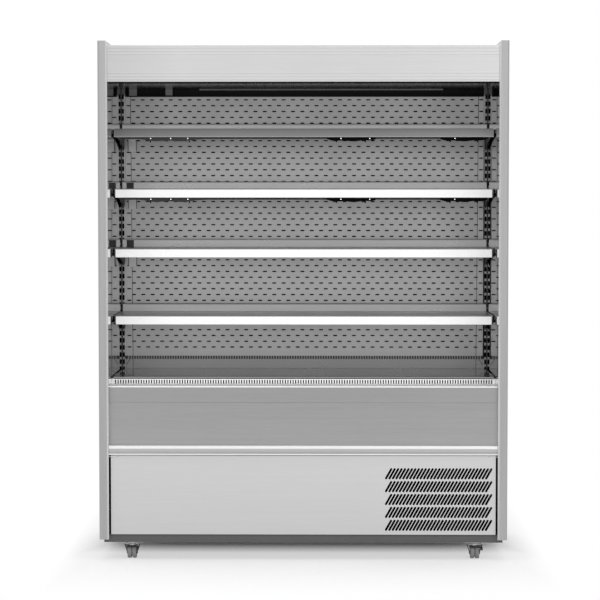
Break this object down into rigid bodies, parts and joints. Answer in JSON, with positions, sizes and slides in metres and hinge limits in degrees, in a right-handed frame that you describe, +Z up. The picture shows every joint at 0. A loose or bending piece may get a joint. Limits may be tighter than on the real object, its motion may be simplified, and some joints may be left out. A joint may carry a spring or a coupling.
{
  "type": "refrigerated display cabinet",
  "caption": "Open-front refrigerated display cabinet with tilting lift-off shelves, well deck, louvred service panel, night blind and braked castors.",
  "frame": {"origin": "on the floor, under the middle of the cabinet", "axes": "+Z up, +X to the right seen from the front, -Y to the open front"},
  "size_m": [1.5, 0.64, 1.907],
  "materials": {
    "stainless_panel": "satin",
    "polished_sheet": "polished",
    "shelf_steel": "satin",
    "dark_bracket": "satin",
    "frame_grey": "matte",
    "canopy_aluminium": "satin",
    "rail_white": "satin",
    "grille_white": "satin",
    "honeycomb_black": "matte",
    "strip_white": "gloss",
    "lamp_black": "satin",
    "blind_aluminium": "satin",
    "blind_fabric": "matte",
    "compressor_black": "satin",
    "coil_fins": "satin",
    "shroud_galvanised": "satin",
    "fan_plate_aluminium": "satin",
    "fan_black": "matte",
    "controller_grey": "matte",
    "tray_black": "matte",
    "castor_zinc": "satin",
    "tread_grey": "matte"
  },
  "bodies": {
    "cabinet": {"base_frame": "frame_grey", "end_panel_left": "stainless_panel", "end_panel_right": "stainless_panel", "rear_panel": "stainless_panel", "roof_panel": "stainless_panel", "canopy_fascia": "canopy_aluminium", "ceiling_liner": "polished_sheet", "air_honeycomb": "honeycomb_black", "well_tank": "stainless_panel", "nose_profile": "stainless_panel", "front_fascia": "stainless_panel", "bumper_rail": "rail_white", "return_grille": "grille_white", "back_panel": "stainless_panel", "upright_left": "dark_bracket", "upright_right": "dark_bracket", "compressor": "compressor_black", "condenser_coil": "coil_fins", "condenser_shroud": "shroud_galvanised", "evaporator_coil": "coil_fins", "fan_plate": "fan_plate_aluminium", "controller": "controller_grey", "condensate_tray": "tray_black"},
    "service_panel": {"service_panel": "stainless_panel"},
    "deck": {"deck_plate": "polished_sheet"},
    "shelf_1_arms": {"bracket_left_1": "dark_bracket", "bracket_right_1": "dark_bracket"},
    "shelf_1": {"shelf_tray_1": "shelf_steel", "shelf_lamp_1": "lamp_black"},
    "shelf_2_arms": {"bracket_left_2": "dark_bracket", "bracket_right_2": "dark_bracket"},
    "shelf_2": {"shelf_tray_2": "shelf_steel", "shelf_lamp_2": "lamp_black", "ticket_strip_2": "strip_white"},
    "shelf_3_arms": {"bracket_left_3": "dark_bracket", "bracket_right_3": "dark_bracket"},
    "shelf_3": {"shelf_tray_3": "shelf_steel", "shelf_lamp_3": "lamp_black", "ticket_strip_3": "strip_white"},
    "shelf_4_arms": {"bracket_left_4": "dark_bracket", "bracket_right_4": "dark_bracket"},
    "shelf_4": {"shelf_tray_4": "shelf_steel", "shelf_lamp_4": "lamp_black", "ticket_strip_4": "strip_white"},
    "blind": {"blind_rail": "blind_aluminium", "blind_cloth": "blind_fabric"},
    "blind_roller": {"blind_roller": "blind_aluminium"},
    "condenser_fan": {"condenser_fan": "fan_black"},
    "evaporator_fan_left": {"evaporator_fan_left": "fan_black"},
    "evaporator_fan_right": {"evaporator_fan_right": "fan_black"},
    "castor_front_left": {"castor_fork_front_left": "castor_zinc"},
    "wheel_front_left": {"castor_wheel_front_left": "tread_grey"},
    "brake_front_left": {"brake_pedal_front_left": "castor_zinc"},
    "castor_front_right": {"castor_fork_front_right": "castor_zinc"},
    "wheel_front_right": {"castor_wheel_front_right": "tread_grey"},
    "brake_front_right": {"brake_pedal_front_right": "castor_zinc"},
    "castor_rear_left": {"castor_fork_rear_left": "castor_zinc"},
    "wheel_rear_left": {"castor_wheel_rear_left": "tread_grey"},
    "castor_rear_right": {"castor_fork_rear_right": "castor_zinc"},
    "wheel_rear_right": {"castor_wheel_rear_right": "tread_grey"}
  },
  "joints": [
    {"name": "service_panel_hinge", "type": "hinge", "parent": "cabinet", "child": "service_panel", "pos_m": [0, -0.289, 0.382], "axis": [-1, 0, 0], "range_deg": [0, 85]},
    {"name": "deck_lift", "type": "slide", "parent": "cabinet", "child": "deck", "axis": [0, 0, 1], "range_m": [0, 0.12]},
    {"name": "shelf_1_tilt", "type": "hinge", "parent": "cabinet", "child": "shelf_1_arms", "pos_m": [0, 0.217, 1.58], "axis": [-1, 0, 0], "range_deg": [0, 8]},
    {"name": "shelf_1_lift", "type": "slide", "parent": "shelf_1_arms", "child": "shelf_1", "axis": [0, 0, 1], "range_m": [0, 0.04]},
    {"name": "shelf_2_tilt", "type": "hinge", "parent": "cabinet", "child": "shelf_2_arms", "pos_m": [0, 0.217, 1.356], "axis": [-1, 0, 0], "range_deg": [0, 8]},
    {"name": "shelf_2_lift", "type": "slide", "parent": "shelf_2_arms", "child": "shelf_2", "axis": [0, 0, 1], "range_m": [0, 0.04]},
    {"name": "shelf_3_tilt", "type": "hinge", "parent": "cabinet", "child": "shelf_3_arms", "pos_m": [0, 0.217, 1.132], "axis": [-1, 0, 0], "range_deg": [0, 8]},
    {"name": "shelf_3_lift", "type": "slide", "parent": "shelf_3_arms", "child": "shelf_3", "axis": [0, 0, 1], "range_m": [0, 0.04]},
    {"name": "shelf_4_tilt", "type": "hinge", "parent": "cabinet", "child": "shelf_4_arms", "pos_m": [0, 0.217, 0.88], "axis": [-1, 0, 0], "range_deg": [0, 8]},
    {"name": "shelf_4_lift", "type": "slide", "parent": "shelf_4_arms", "child": "shelf_4", "axis": [0, 0, 1], "range_m": [0, 0.04]},
    {"name": "blind_pull", "type": "slide", "parent": "cabinet", "child": "blind", "axis": [0, 0, -1], "range_m": [0, 1.11], "stiffness_N_per_m": 20, "springref_m": -1, "deforming": ["blind_cloth"]},
    {"name": "blind_roller_spin", "type": "hinge", "parent": "cabinet", "child": "blind_roller", "pos_m": [0, -0.283, 1.822], "axis": [1, 0, 0], "continuous": true},
    {"name": "condenser_fan_spin", "type": "hinge", "parent": "cabinet", "child": "condenser_fan", "pos_m": [0.5, -0.1967, 0.2143], "axis": [0, 1, 0], "continuous": true},
    {"name": "evaporator_fan_left_spin", "type": "hinge", "parent": "cabinet", "child": "evaporator_fan_left", "pos_m": [-0.32, -0.01, 0.54765], "axis": [0, 1, 0], "continuous": true},
    {"name": "evaporator_fan_right_spin", "type": "hinge", "parent": "cabinet", "child": "evaporator_fan_right", "pos_m": [0.32, -0.01, 0.54765], "axis": [0, 1, 0], "continuous": true},
    {"name": "castor_front_left_swivel", "type": "hinge", "parent": "cabinet", "child": "castor_front_left", "pos_m": [-0.635, -0.234, 0.0557], "axis": [0, 0, 1], "continuous": true},
    {"name": "wheel_front_left_roll", "type": "hinge", "parent": "castor_front_left", "child": "wheel_front_left", "pos_m": [-0.635, -0.251, 0.025], "axis": [1, 0, 0], "continuous": true},
    {"name": "brake_front_left_release", "type": "hinge", "parent": "castor_front_left", "child": "brake_front_left", "pos_m": [-0.635, -0.273, 0.045], "axis": [-1, 0, 0], "range_deg": [0, 20]},
    {"name": "castor_front_right_swivel", "type": "hinge", "parent": "cabinet", "child": "castor_front_right", "pos_m": [0.635, -0.234, 0.0557], "axis": [0, 0, 1], "continuous": true},
    {"name": "wheel_front_right_roll", "type": "hinge", "parent": "castor_front_right", "child": "wheel_front_right", "pos_m": [0.635, -0.251, 0.025], "axis": [1, 0, 0], "continuous": true},
    {"name": "brake_front_right_release", "type": "hinge", "parent": "castor_front_right", "child": "brake_front_right", "pos_m": [0.635, -0.273, 0.045], "axis": [-1, 0, 0], "range_deg": [0, 20]},
    {"name": "castor_rear_left_swivel", "type": "hinge", "parent": "cabinet", "child": "castor_rear_left", "pos_m": [-0.635, 0.234, 0.0557], "axis": [0, 0, 1], "continuous": true},
    {"name": "wheel_rear_left_roll", "type": "hinge", "parent": "castor_rear_left", "child": "wheel_rear_left", "pos_m": [-0.635, 0.251, 0.025], "axis": [1, 0, 0], "continuous": true},
    {"name": "castor_rear_right_swivel", "type": "hinge", "parent": "cabinet", "child": "castor_rear_right", "pos_m": [0.635, 0.234, 0.0557], "axis": [0, 0, 1], "continuous": true},
    {"name": "wheel_rear_right_roll", "type": "hinge", "parent": "castor_rear_right", "child": "wheel_rear_right", "pos_m": [0.635, 0.251, 0.025], "axis": [1, 0, 0], "continuous": true}
  ],
  "couplings": [
    {"joint": "blind_roller_spin", "follows": "blind_pull", "rad_per_m": -50}
  ]
}
